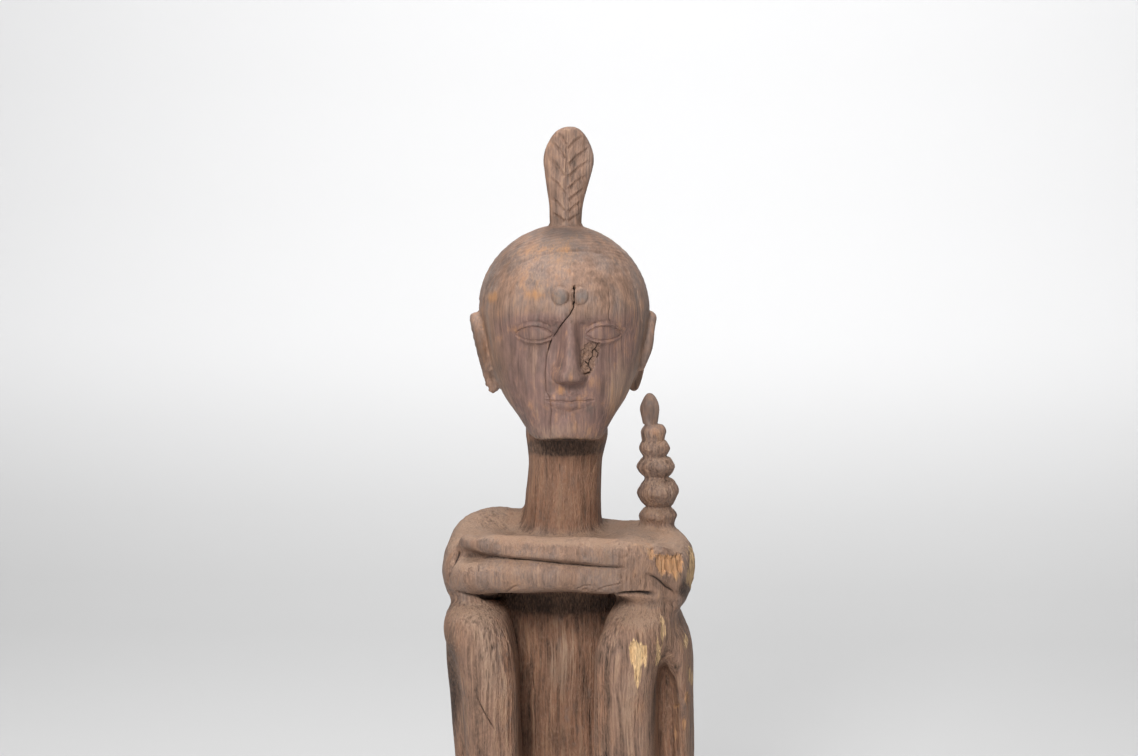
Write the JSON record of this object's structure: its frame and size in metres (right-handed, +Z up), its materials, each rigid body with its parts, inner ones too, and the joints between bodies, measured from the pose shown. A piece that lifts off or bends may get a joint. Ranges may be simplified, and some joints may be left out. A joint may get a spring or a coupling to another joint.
{
  "type": "carved seated figure",
  "caption": "Seated male figure carved in dark wood, knees drawn up and forearms crossed, with a leaf crest, long ears, a broken beaded pendant and a low base.",
  "frame": {"origin": "centre of the low base's underside", "axes": "+Z up the figure, which faces -Y; its own left is at +X"},
  "size_m": [0.27, 0.24, 0.83],
  "materials": {
    "dark_wood": "weathered, matt"
  },
  "bodies": {
    "root": {"seated_figure": "dark_wood"}
  },
  "joints": []
}
